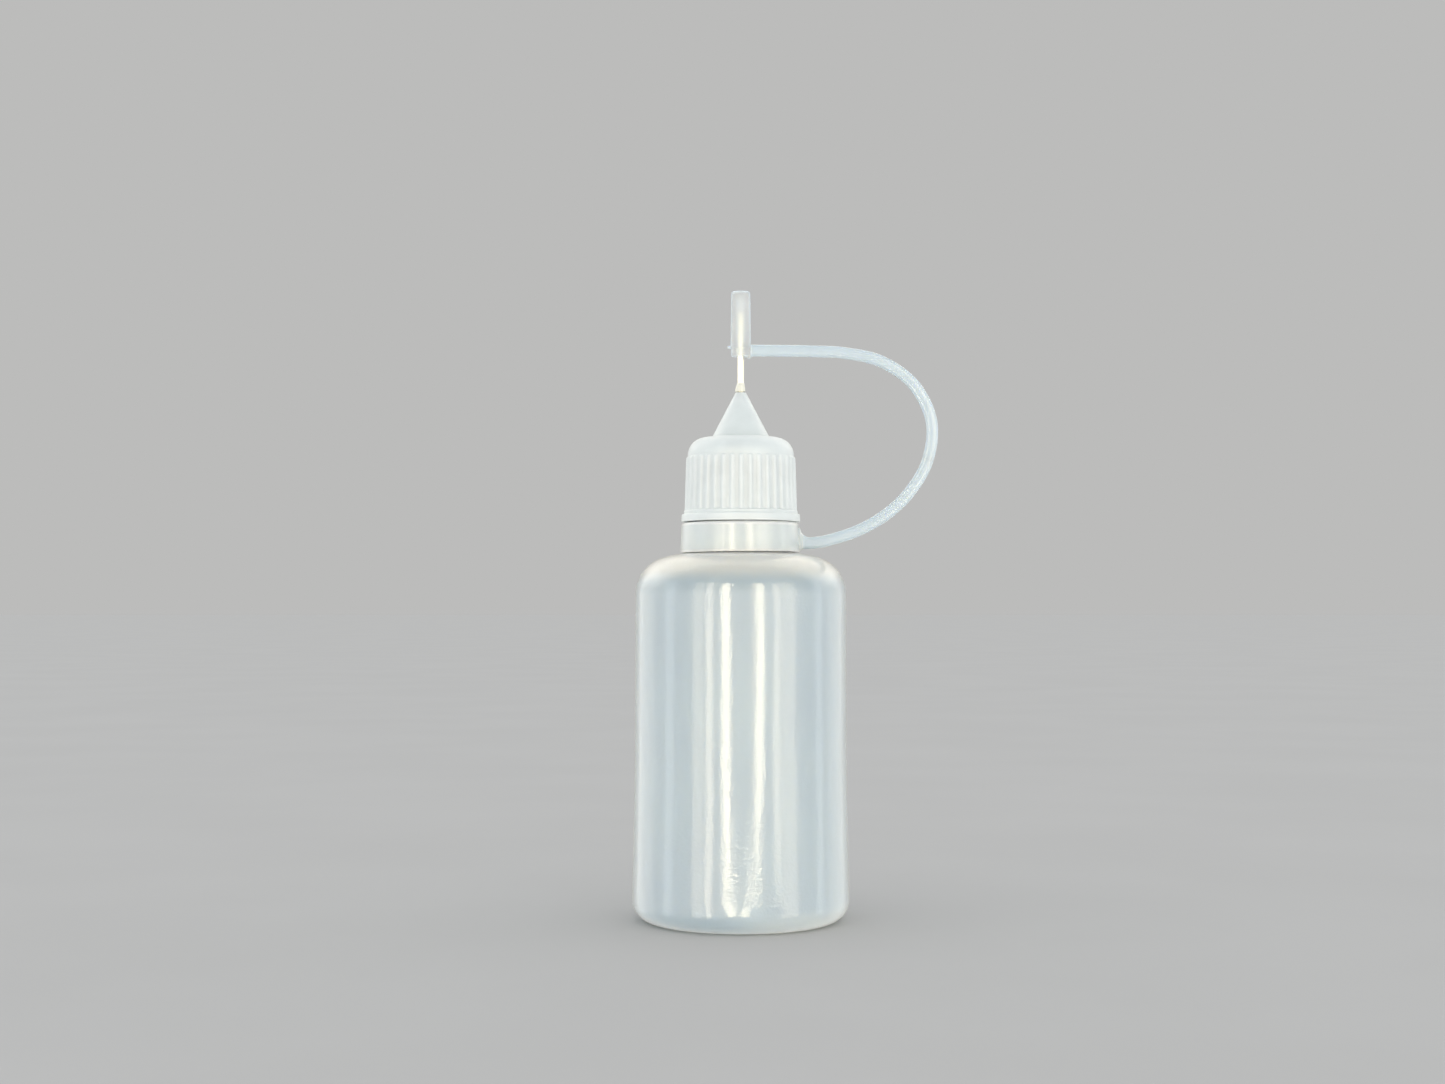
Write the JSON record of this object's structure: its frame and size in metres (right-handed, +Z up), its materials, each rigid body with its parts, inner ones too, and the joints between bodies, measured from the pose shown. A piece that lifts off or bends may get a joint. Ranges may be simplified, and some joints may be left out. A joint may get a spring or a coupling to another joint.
{
  "type": "dropper bottle",
  "caption": "Translucent squeeze bottle with a ribbed screw-on conical nozzle cap, a blunt steel needle, and a needle cover tethered by a strap to a loose neck ring.",
  "frame": {"origin": "centre of the flat base, on the bottle's axis", "axes": "+Z up the bottle's axis towards the needle, +X towards the strap's loop, +Y away from a viewer who has the loop on the right"},
  "size_m": [0.0467, 0.033, 0.096],
  "materials": {
    "milky_ldpe": "milky translucent, softly glossy low-density polyethylene",
    "white_polyethylene": "satin, slightly translucent natural white polyethylene",
    "stainless_steel": "bright drawn stainless tube",
    "clear_adhesive": "clear glossy bead",
    "soft_ldpe": "bluish white, translucent soft low-density polyethylene"
  },
  "bodies": {
    "bottle": {"bottle_shell": "milky_ldpe"},
    "tether": {"tether_ring": "soft_ldpe", "tether_strap_lower": "soft_ldpe"},
    "cap": {"nozzle_cap": "white_polyethylene", "needle_tube": "stainless_steel", "needle_bond": "clear_adhesive"},
    "cover": {"needle_cover": "soft_ldpe", "tether_strap_upper": "soft_ldpe"}
  },
  "joints": [
    {"name": "cap_turn", "type": "hinge", "parent": "bottle", "child": "tether", "pos_m": [0, 0, 0.058], "axis": [0, 0, 1], "range_deg": [0, 720]},
    {"name": "cap_rise", "type": "slide", "parent": "tether", "child": "cap", "axis": [0, 0, 1], "range_m": [0, 0.00423], "deforming": ["tether_strap_lower"]},
    {"name": "cover_pull", "type": "slide", "parent": "cap", "child": "cover", "axis": [0, 0, 1], "range_m": [-0.002, 0.0085], "deforming": ["tether_strap_upper"]}
  ],
  "couplings": [
    {"joint": "cap_rise", "follows": "cap_turn", "m_per_rad": 0.00033688}
  ]
}
